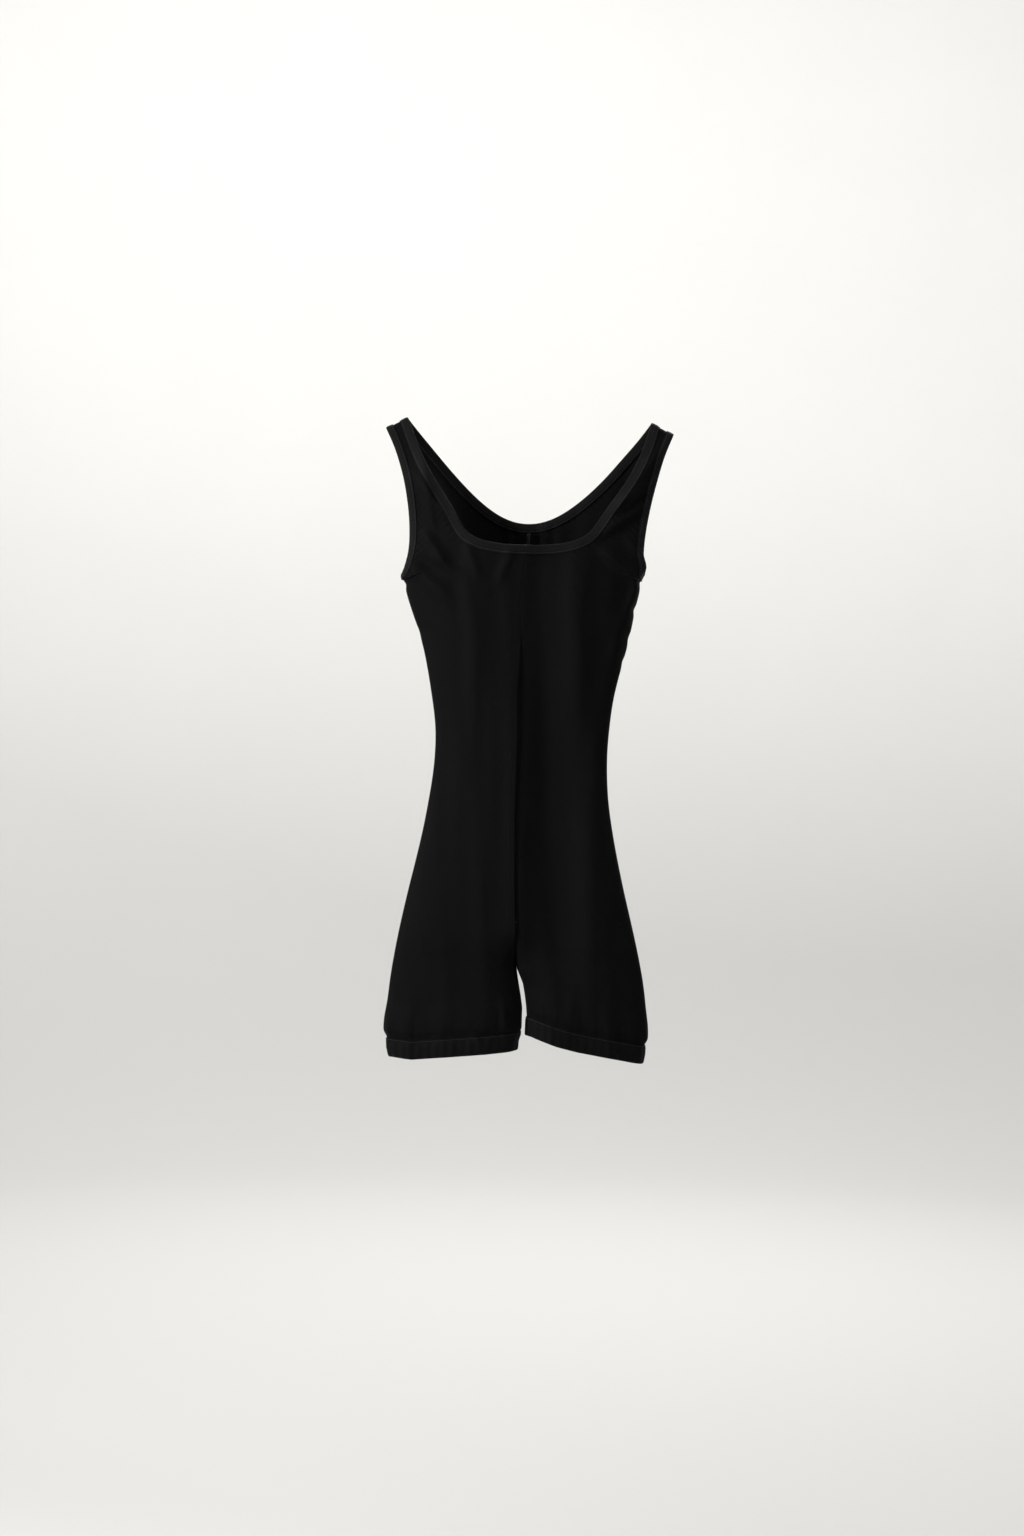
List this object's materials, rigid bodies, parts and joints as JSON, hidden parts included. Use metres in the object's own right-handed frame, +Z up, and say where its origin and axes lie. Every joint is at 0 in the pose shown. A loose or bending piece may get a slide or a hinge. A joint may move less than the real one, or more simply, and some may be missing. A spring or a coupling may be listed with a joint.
{
  "type": "gymnastics leotard",
  "caption": "Sleeveless gymnastics leotard with short banded legs, scooped neck and bound edges, shaped as it hangs from two shoulder straps.",
  "frame": {"origin": "midway between the two shoulder straps, on the hanging line where their undersides rest", "axes": "+X to the wearer's left, +Y towards the wearer's back, +Z up; the front faces -Y"},
  "size_m": [0.323, 0.056, 0.7159],
  "materials": {
    "jersey": "matte black cotton and elastane jersey",
    "binding": "matte black folded jersey binding",
    "elastic": "black covered elastic",
    "thread": "black polyester sewing thread, slight sheen",
    "label": "blank white satin tape"
  },
  "bodies": {
    "torso": {"neck_binding": "binding", "neck_elastic": "elastic", "neck_stitching": "thread", "centre_seam": "thread", "right_front_body": "jersey", "right_back_body": "jersey", "right_armhole_binding": "binding", "right_armhole_elastic": "elastic", "right_armhole_stitching": "thread", "right_shoulder_seam": "thread", "right_side_seam": "thread", "left_front_body": "jersey", "left_back_body": "jersey", "left_armhole_binding": "binding", "left_armhole_elastic": "elastic", "left_armhole_stitching": "thread", "left_shoulder_seam": "thread", "left_side_seam": "thread"},
    "right_leg": {"right_front_leg": "jersey", "right_back_leg": "jersey", "right_hem_binding": "binding", "right_hem_elastic": "elastic", "right_hem_stitching": "thread", "right_leg_side_seam": "thread", "right_inseam": "thread"},
    "left_leg": {"left_front_leg": "jersey", "left_back_leg": "jersey", "left_hem_binding": "binding", "left_hem_elastic": "elastic", "left_hem_stitching": "thread", "left_leg_side_seam": "thread", "left_inseam": "thread"},
    "label": {"care_label": "label"}
  },
  "joints": [
    {"name": "right_leg_swing", "type": "hinge", "parent": "torso", "child": "right_leg", "pos_m": [0, 0, -0.603], "axis": [1, 0, 0], "range_deg": [-20, 20]},
    {"name": "left_leg_swing", "type": "hinge", "parent": "torso", "child": "left_leg", "pos_m": [0, 0, -0.603], "axis": [1, 0, 0], "range_deg": [-20, 20]},
    {"name": "label_flap", "type": "hinge", "parent": "torso", "child": "label", "pos_m": [0.0992, 0, -0.47], "axis": [0, 0, 1], "range_deg": [-15, 15]}
  ]
}
